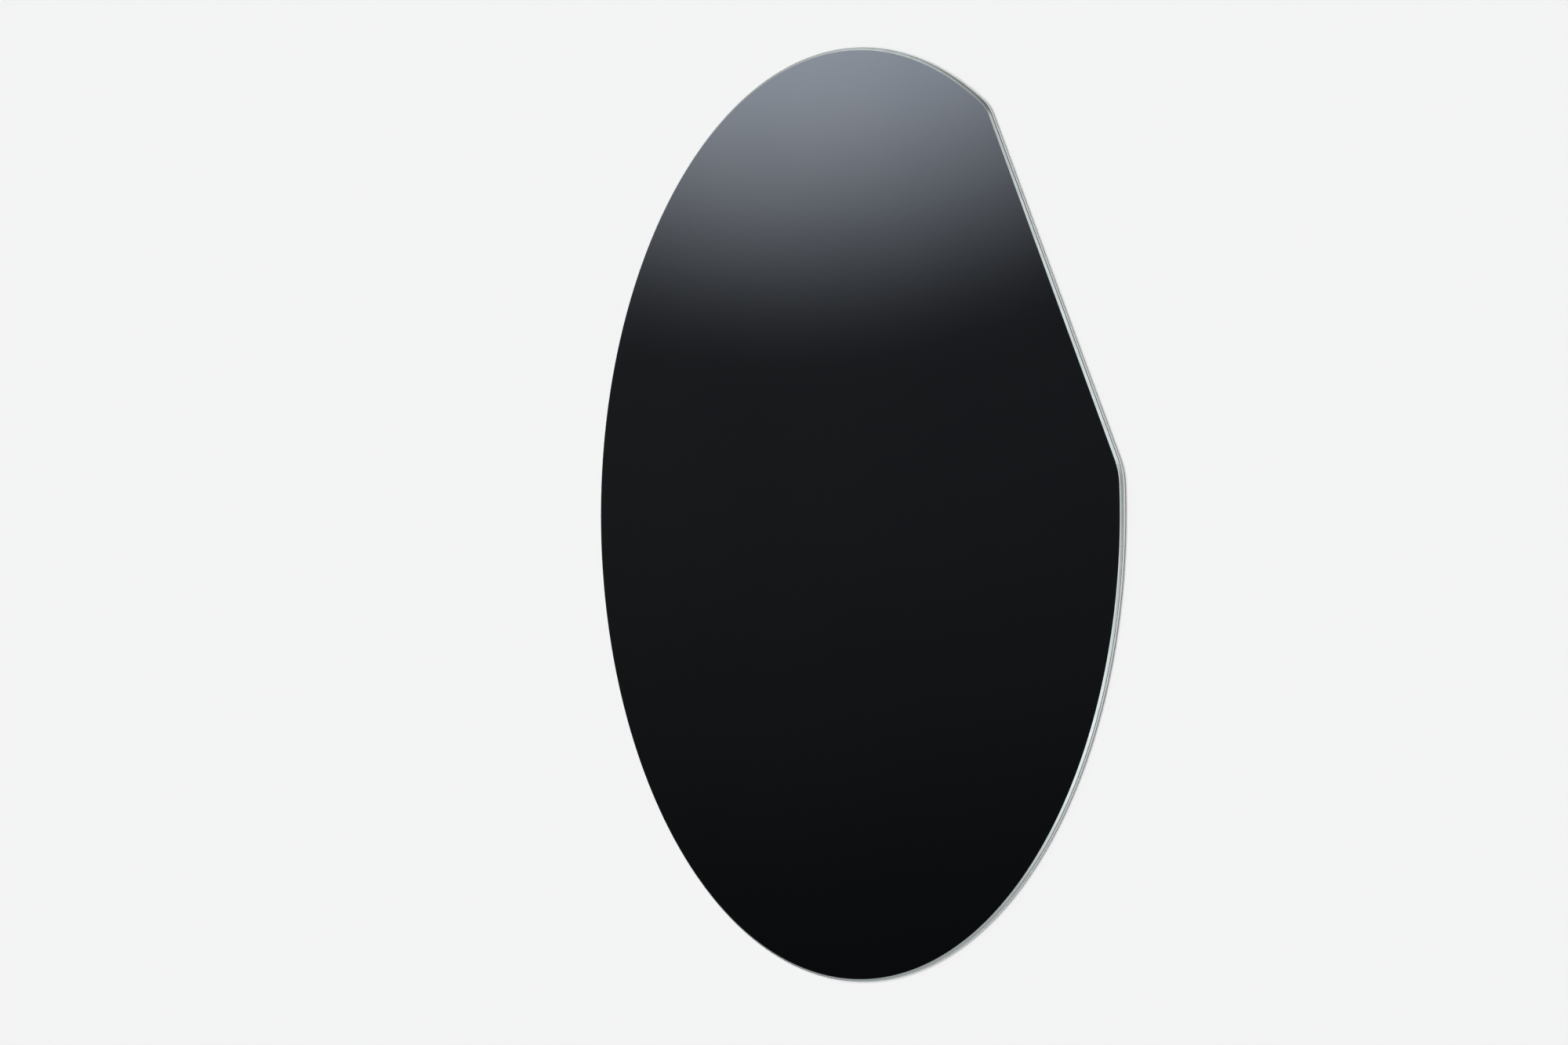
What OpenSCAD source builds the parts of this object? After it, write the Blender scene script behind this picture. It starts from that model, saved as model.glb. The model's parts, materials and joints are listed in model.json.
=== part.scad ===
// A polished silicon wafer with one flat, lying on its back face.
// The origin is the middle of the round outline, on the back face. +Z is the polished face's
// normal, and the flat lies towards -Y. Sizes are in millimetres and angles in degrees.

/* [Wafer] */
// Diameter of the round outline
wafer_d = 150; // [100:0.1:200]
// Thickness, from the back face to the polished face
wafer_t = 0.675; // [0.5:0.005:1]

/* [Flat] */
// Length of the flat, between the points where it would cross the round outline
flat_l = 56.1; // [30:0.1:80]
// Radius, in plan, of the corner at each end of the flat
corner_r = 8.1; // [2:0.1:12]

/* [Ground edge] */
// Width of the bevel, measured across each face
bevel_w = 0.4; // [0.2:0.01:0.48]
// Slope of the bevel, down from each face
bevel_angle = 22; // [18:0.1:26.5]
// Radius between each bevel and the upright band in the middle of the edge
blend_r = 0.15; // [0.05:0.01:0.3]

/* [Hidden] */
$fn = 360;

round_r = wafer_d / 2;
flat_y = sqrt(round_r ^ 2 - (flat_l / 2) ^ 2);

// A corner's arc touches the round outline on the inside and the flat from behind, so its centre
// is corner_r from both. Seen from the wafer's centre, it is corner_sweep away from -Y.
corner_reach = round_r - corner_r;
corner_sweep = acos((flat_y - corner_r) / corner_reach);
flat_run = 2 * corner_reach * sin(corner_sweep);
// Each corner's length of flat runs past the middle, into the other's
flat_length_run = 0.75 * flat_run;

// The ground edge's section
bevel_h = bevel_w * tan(bevel_angle);
blend_turn = 90 - bevel_angle;
blend_steps = 5;
// The blend leaves at least this share of the edge's middle upright
upright_share = 0.1;
blend_room = (1 - upright_share) * (wafer_t / 2 - bevel_h);
edge_blend_r = min(blend_r, blend_room / tan(blend_turn / 2));
blend_h = edge_blend_r * tan(blend_turn / 2);

// Upper half of the edge, from the upright band to the polished face. x is 0 at the outermost
// point and y is the height above the back face.
upper_edge = [
    for (i = [0 : blend_steps])
        let (a = blend_turn * i / blend_steps)
            [edge_blend_r * (cos(a) - 1), wafer_t - bevel_h - blend_h + edge_blend_r * sin(a)],
    [-bevel_w, wafer_t],
];

// The lower half is the upper one turned over, and is listed from the back face up
lower_edge = [
    for (i = [len(upper_edge) - 1 : -1 : 0])
        [upper_edge[i].x, wafer_t - upper_edge[i].y],
];

// Section through the wafer's edge, reaching inwards by depth
module edge_section(depth) {
    polygon(concat([[-depth, 0]], lower_edge, upper_edge, [[-depth, wafer_t]]));
}

// Section through a round piece of radius r, from its axis to its edge
module round_section(r) {
    intersection() {
        translate([r, 0])
            edge_section(2 * r);
        translate([0, -wafer_t])
            square([2 * r, 3 * wafer_t]);
    }
}

// Turns X to run from the wafer's centre, through a corner's centre, to where its arc starts
module face_corner() {
    rotate([0, 0, corner_sweep - 90])
        children();
}

// Everything on the flat's side of that line
module flat_side_of_corner() {
    face_corner()
        translate([-wafer_d, -2 * wafer_d, -wafer_t])
            cube([2 * wafer_d, 2 * wafer_d, 3 * wafer_t]);
}

// The round part: a disc, less the sector between the two corners
module round_part() {
    difference() {
        face_corner()
            rotate_extrude()
                round_section(round_r);
        intersection() {
            flat_side_of_corner();
            mirror([1, 0, 0])
                flat_side_of_corner();
        }
    }
}

// One corner, turned about its own centre, from the round edge round to the flat
module corner() {
    intersection() {
        rotate_extrude(angle = -90)
            round_section(corner_r);
        rotate([0, 0, -corner_sweep])
            translate([0, 0, -wafer_t])
                cube([2 * corner_r, 2 * corner_r, 3 * wafer_t]);
    }
}

// A length of the flat, from a corner to past the middle, with the wafer behind it
module flat_length() {
    rotate([90, 0, 0])
        linear_extrude(flat_length_run)
            translate([corner_r, 0])
                edge_section(flat_y);
}

// A corner and its length of flat
module flat_end() {
    face_corner()
        translate([corner_reach, 0, 0]) {
            corner();
            rotate([0, 0, -corner_sweep])
                flat_length();
        }
}

// The wafer, one solid with the same ground edge all round
module wafer() {
    color("#2c3036") {
        round_part();
        flat_end();
        mirror([1, 0, 0])
            flat_end();
    }
}

wafer();
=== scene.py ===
import json
import math

import bmesh
import bpy
from mathutils import Matrix, Vector


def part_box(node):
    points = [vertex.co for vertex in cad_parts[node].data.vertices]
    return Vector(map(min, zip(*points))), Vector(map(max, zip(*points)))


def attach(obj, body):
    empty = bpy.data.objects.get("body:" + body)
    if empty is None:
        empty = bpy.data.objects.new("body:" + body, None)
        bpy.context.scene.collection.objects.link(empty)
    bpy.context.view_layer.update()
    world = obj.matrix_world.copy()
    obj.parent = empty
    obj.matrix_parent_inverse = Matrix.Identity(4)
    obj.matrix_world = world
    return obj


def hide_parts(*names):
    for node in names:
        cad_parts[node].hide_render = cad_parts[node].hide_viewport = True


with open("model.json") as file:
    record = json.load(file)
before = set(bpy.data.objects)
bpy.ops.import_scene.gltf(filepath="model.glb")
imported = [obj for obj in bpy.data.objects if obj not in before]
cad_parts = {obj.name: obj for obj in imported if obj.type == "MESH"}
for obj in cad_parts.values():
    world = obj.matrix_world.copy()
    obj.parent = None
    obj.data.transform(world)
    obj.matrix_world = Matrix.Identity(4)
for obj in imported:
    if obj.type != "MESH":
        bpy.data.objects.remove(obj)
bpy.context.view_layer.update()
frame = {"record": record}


# The silicon slice itself: one disc sawn from a single-crystal ingot, with one flat ground along
# its rim. A shaped diamond wheel gives the whole outline, flat and corners too, a bevel above and
# below and a rounded apex between them, so one edge section is carried all the way round.

MM = 0.001
mounts = {mount["name"]: mount for mount in frame["record"]["mounts"]}
rim_radius = mounts["round_edge"]["dims"]["r_mm"] * MM
thickness = mounts["front_face"]["pos_m"][2]
flat_distance = -mounts["primary_flat"]["pos_m"][1]
corner_radius = 8.1 * MM
bevel_width = 0.4 * MM
bevel_angle = math.radians(22)
apex_blend_radius = 0.15 * MM
break_blend = 0.05 * MM
face_margin = 0.15 * MM

bevel_height = bevel_width * math.tan(bevel_angle)
apex_blend = apex_blend_radius * math.tan((math.pi / 2 - bevel_angle) / 2)
corner_reach = rim_radius - corner_radius
corner_depth = flat_distance - corner_radius
corner_sweep = math.acos(corner_depth / corner_reach)
corner_offset = corner_reach * math.sin(corner_sweep)

slice_shape = bmesh.new()
edge_section = [
    slice_shape.verts.new((-corner_offset, inset - flat_distance, height))
    for inset, height in (
        (bevel_width + face_margin, 0),
        (bevel_width, 0),
        (0, bevel_height),
        (0, thickness - bevel_height),
        (bevel_width, thickness),
        (bevel_width + face_margin, thickness),
    )
]
for lower, upper in zip(edge_section, edge_section[1:]):
    slice_shape.edges.new((lower, upper))


def round_off(corners, reach, steps):
    bmesh.ops.bevel(
        slice_shape,
        geom=corners,
        offset=reach,
        offset_type="OFFSET",
        segments=steps,
        profile=0.5,
        affect="VERTICES",
        material=-1,
        clamp_overlap=False,
    )


apex_steps = 6
break_steps = 3
hair = 0.0001 * MM
round_off([edge_section[2], edge_section[3]], apex_blend, apex_steps)
breaks = [v for v in slice_shape.verts if abs(v.co.y + flat_distance - bevel_width) < hair]
round_off(breaks, break_blend, break_steps)


def edges_in(parts):
    return [part for part in parts if isinstance(part, bmesh.types.BMEdge)]


# The section is drawn along the flat first. A short length at each end of the flat keeps the
# shading of the corners out of the long straight between them.

flat_run = 2 * corner_offset
run_end = 1 * MM
ring = slice_shape.verts[:] + slice_shape.edges[:]
for length in (run_end, flat_run - 2 * run_end, run_end):
    drawn = bmesh.ops.extrude_edge_only(slice_shape, edges=edges_in(ring))["geom"]
    moved = [part for part in drawn if isinstance(part, bmesh.types.BMVert)]
    bmesh.ops.translate(slice_shape, verts=moved, vec=(length, 0, 0))
    ring = moved + [edge for edge in edges_in(drawn) if all(end in moved for end in edge.verts)]

# Then it turns round the first corner, the rim and the second corner, back to where it began.

corner_steps = 24
rim_steps = 480
rim_sweep = 2 * math.pi - 2 * corner_sweep
for centre, sweep, steps in (
    ((corner_offset, -corner_depth, 0), corner_sweep, corner_steps),
    ((0, 0, 0), rim_sweep, rim_steps),
    ((-corner_offset, -corner_depth, 0), corner_sweep, corner_steps),
):
    turned = bmesh.ops.spin(
        slice_shape, geom=ring, cent=centre, axis=(0, 0, 1), angle=sweep, steps=steps
    )
    ring = turned["geom_last"]

merge_reach = 0.005 * MM
bmesh.ops.remove_doubles(slice_shape, verts=slice_shape.verts, dist=merge_reach)
rims = [edge for edge in slice_shape.edges if edge.is_boundary]
bmesh.ops.holes_fill(slice_shape, edges=rims, sides=0)
bmesh.ops.recalc_face_normals(slice_shape, faces=slice_shape.faces)

FACE, EDGE, BACK = 0, 1, 2
LEVEL = 0.99999
for face in slice_shape.faces:
    face.smooth = True
    if face.normal.z > LEVEL:
        face.material_index = FACE
    elif face.normal.z < -LEVEL:
        face.material_index = BACK
    else:
        face.material_index = EDGE


# The operators leave the faces in no fixed order, so they are put in order of their places, and
# the mesh is the same each time it is made.


def place_along_slice(face):
    centre = face.calc_center_median()
    return centre.x + 3 * centre.y + 50 * centre.z


slice_shape.faces.sort(key=place_along_slice)

wafer_mesh = bpy.data.meshes.new("silicon_wafer")
slice_shape.to_mesh(wafer_mesh)
slice_shape.free()
wafer = bpy.data.objects.new("silicon_wafer", wafer_mesh)
bpy.context.scene.collection.objects.link(wafer)
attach(wafer, "root")
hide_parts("wafer")


class Reading:
    """One output among the nodes. Sums on it add Math nodes, and add() puts in any other."""

    def __init__(self, tree, socket=None):
        self.tree = tree
        self.socket = socket

    def add(self, kind, settings, values, output=0):
        node = self.tree.nodes.new(kind)
        for name, setting in settings.items():
            setattr(node, name, setting)
        for name, value in values.items():
            if isinstance(value, Reading):
                self.tree.links.new(value.socket, node.inputs[name])
            else:
                node.inputs[name].default_value = value
        return Reading(self.tree, node.outputs[output] if node.outputs else None)

    def sum(self, operation, first, second):
        return self.add("ShaderNodeMath", {"operation": operation}, {0: first, 1: second})

    def __add__(self, other):
        return self.sum("ADD", self, other)

    def __radd__(self, other):
        return self.sum("ADD", other, self)

    def __rsub__(self, other):
        return self.sum("SUBTRACT", other, self)

    def __mul__(self, other):
        return self.sum("MULTIPLY", self, other)

    def __rmul__(self, other):
        return self.sum("MULTIPLY", other, self)

    def stretched(self, scale):
        return self.add(
            "ShaderNodeVectorMath", {"operation": "MULTIPLY"}, {0: self, 1: scale}
        )

    def along(self, direction):
        return self.add(
            "ShaderNodeVectorMath", {"operation": "DOT_PRODUCT"}, {0: self, 1: direction}, "Value"
        )

    def noise(self, scale, detail, roughness=0.5):
        return self.add(
            "ShaderNodeTexNoise",
            {"noise_dimensions": "3D"},
            {"Vector": self, "Scale": scale, "Detail": detail, "Roughness": roughness},
            "Fac",
        )

    def ramp(self, low, high, start=0, end=1):
        return self.add(
            "ShaderNodeMapRange",
            {"interpolation_type": "SMOOTHSTEP"},
            {"Value": self, "From Min": low, "From Max": high, "To Min": start, "To Max": end},
        )

    def between(self, first, second):
        return self.add(
            "ShaderNodeMix", {"data_type": "RGBA"}, {0: self, 6: first, 7: second}, 2
        )

    def relief(self, depth):
        return self.add(
            "ShaderNodeBump", {}, {"Height": self, "Distance": depth, "Strength": 1.0}
        )


def silicon_finish(name):
    finish = bpy.data.materials.new(name)
    finish.use_nodes = True
    finish.node_tree.nodes.clear()
    surface = Reading(finish.node_tree)
    place = surface.add("ShaderNodeTexCoord", {}, {}, "Object")
    wafer_mesh.materials.append(finish)
    return surface, place


def put_on(surface, colour, roughness, normal):
    shader = surface.add(
        "ShaderNodeBsdfPrincipled",
        {},
        {"Base Color": colour, "Metallic": 1.0, "Roughness": roughness, "Normal": normal},
    )
    surface.add("ShaderNodeOutputMaterial", {}, {"Surface": shader})


# The front face is lapped and polished to a mirror. What little the eye finds on it is the slow
# wave the polishing pad leaves and a haze that comes and goes across the disc.

surface, place = silicon_finish("mirror_polished_face")
clear_grey = (0.335, 0.358, 0.412, 1)
hazy_grey = (0.352, 0.372, 0.424, 1)
haze = place.noise(scale=28, detail=3)
pad_wave = place.noise(scale=16, detail=1)
put_on(
    surface,
    colour=haze.ramp(0.3, 0.7).between(clear_grey, hazy_grey),
    roughness=haze.ramp(0.3, 0.7, 0.016, 0.034),
    normal=pad_wave.relief(0.01 * MM),
)

# The edge is ground and then etched bright: a soft sheen over fine wheel lines that run the
# length of the edge, at one height all the way round. Its greys are painted far paler than
# silicon's own, a painted highlight standing in for the bright light the edge catches.

surface, place = silicon_finish("ground_edge_and_painted_sheen")
# Both edge greys are painted paler than silicon: painted highlight; only the wheel lines between
# them are the edge's own.
wheel_line_grey_and_painted_sheen = (0.62, 0.66, 0.65, 1)
etched_grey_and_painted_sheen = (0.70, 0.735, 0.725, 1)
wheel_lines = place.stretched((150, 150, 50000)).noise(scale=1, detail=3, roughness=0.6)
etch_patches = place.noise(scale=600, detail=2)
put_on(
    surface,
    colour=wheel_lines.ramp(0.3, 0.7).between(wheel_line_grey_and_painted_sheen, etched_grey_and_painted_sheen),
    roughness=etch_patches.ramp(0.3, 0.7, 0.22, 0.30),
    normal=wheel_lines.relief(0.0006 * MM),
)

# The back is left as the acid etch leaves it after lapping: satin grey, with shallow pits
# about a tenth of a millimetre across and a faint mottle where the etch ran faster.

surface, place = silicon_finish("etched_satin_back")
deep_grey = (0.315, 0.327, 0.35, 1)
satin_grey = (0.375, 0.385, 0.405, 1)
mottle = place.noise(scale=420, detail=4)
pits = place.noise(scale=9000, detail=2, roughness=0.6)
put_on(
    surface,
    colour=(0.6 * mottle + 0.4 * pits).ramp(0.35, 0.65).between(deep_grey, satin_grey),
    roughness=pits.ramp(0.3, 0.7, 0.38, 0.48),
    normal=pits.relief(0.012 * MM),
)


# The stage is a plain pale table top, wide enough to have no edge in view. It shows from above
# only, so the etched back can be looked at from underneath.

floor_reach = 12
floor_height = 0.004 * MM
floor_shape = bmesh.new()
bmesh.ops.create_grid(floor_shape, x_segments=1, y_segments=1, size=floor_reach)
bmesh.ops.translate(floor_shape, verts=floor_shape.verts, vec=(0, 0, floor_height))
floor_mesh = bpy.data.meshes.new("pale_floor")
floor_shape.to_mesh(floor_mesh)
floor_shape.free()
pale_floor = bpy.data.objects.new("pale_floor", floor_mesh)
bpy.context.scene.collection.objects.link(pale_floor)
table_top = bpy.data.materials.new("pale_table_top")
table_top.use_nodes = True
table_top.node_tree.nodes.clear()
board = Reading(table_top.node_tree)
from_below = board.add("ShaderNodeNewGeometry", {}, {}, "Backfacing")
painted = board.add("ShaderNodeBsdfDiffuse", {}, {"Color": (0.837, 0.826, 0.822, 1)})
open_below = board.add("ShaderNodeBsdfTransparent", {}, {})
shown = board.add("ShaderNodeMixShader", {}, {0: from_below, 1: painted, 2: open_below})
board.add("ShaderNodeOutputMaterial", {}, {"Surface": shown})
floor_mesh.materials.append(table_top)


# The studio: a broad soft lamp overhead lights the table, and is kept out of the polished face.
# What the silicon mirrors is the room: dark, with lamps high up for the bevels to catch, a soft
# glow on each side beyond the wafer, and a pale strip low on the side where the flat is.

lamp_light = bpy.data.lights.new("overhead_lamp", "SUN")
lamp_light.energy = 1.95
lamp_light.angle = math.radians(70)
overhead_lamp = bpy.data.objects.new("overhead_lamp", lamp_light)
overhead_lamp.visible_glossy = False
overhead_lamp.rotation_euler = (math.radians(12), math.radians(10), 0)
bpy.context.scene.collection.objects.link(overhead_lamp)

studio = bpy.data.worlds.new("studio")
bpy.context.scene.world = studio
studio.use_nodes = True
studio.node_tree.nodes.clear()
room = Reading(studio.node_tree)
direction = room.add("ShaderNodeTexCoord", {}, {}, "Generated")
across = direction.along((1, 0, 0))
beyond = direction.along((0, 1, 0))
height = direction.along((0, 0, 1))

gap_overhead = height.ramp(0.93, 0.975) * beyond.ramp(0.3, -0.15)
high_lamps = height.ramp(0.72, 0.90) * (1 - 0.88 * gap_overhead)
toward_right = direction.along((0.78, 0.42, 0.46))
right_halo = toward_right.ramp(0.6, 0.95)
right_glow = toward_right.ramp(0.89, 0.99)
toward_left = direction.along((-0.3, 0.75, 0.58))
left_glow = toward_left.ramp(0.75, 0.93) * across.ramp(0.05, -0.12)
pale_strip = direction.along((-0.37, -0.90, 0.20)).ramp(0.78, 1)
both_ends = (across * across).ramp(0.2, 0.95)
underneath = height.ramp(-0.02, -0.2)
brightness = (
    0.008
    + 1.25 * high_lamps
    + 0.8 * right_glow * right_glow
    + 0.02 * right_halo
    + 0.45 * left_glow
    + 0.35 * pale_strip
    + 0.13 * both_ends
    + 0.8 * underneath
)
mirrored_room = room.add(
    "ShaderNodeBackground", {}, {"Color": (0.95, 0.985, 1.0, 1), "Strength": brightness}
)

# Looked at straight, behind the table's far side, the room is as pale as the table.

pale_backdrop = room.add(
    "ShaderNodeBackground", {}, {"Color": (0.895, 0.9, 0.9, 1), "Strength": 1.0}
)
looked_at = room.add("ShaderNodeLightPath", {}, {}, "Is Camera Ray")
shown = room.add("ShaderNodeMixShader", {}, {0: looked_at, 1: mirrored_room, 2: pale_backdrop})
room.add("ShaderNodeOutputWorld", {}, {"Surface": shown})


# The camera looks down on the polished face from beyond the flat, turned on its side so that
# the wafer stands in the picture as it does in a carrier.

low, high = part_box("wafer")
middle = (Vector(low) + Vector(high)) / 2
to_camera = Vector((-0.369, -0.761, 0.534)).normalized()
picture_up = Vector((0.874, -0.484, 0.031))
camera_distance = 0.2346
lens = bpy.data.cameras.new("camera")
lens.sensor_width = 36
lens.lens = 32
lens.clip_start = 0.01
lens.clip_end = 50
camera = bpy.data.objects.new("camera", lens)
picture_right = picture_up.cross(to_camera).normalized()
picture_top = to_camera.cross(picture_right)
turn = Matrix((picture_right, picture_top, to_camera)).transposed()
camera.matrix_world = Matrix.LocRotScale(middle + camera_distance * to_camera, turn, None)
bpy.context.scene.collection.objects.link(camera)
bpy.context.scene.camera = camera
bpy.context.scene.view_settings.view_transform = "Standard"
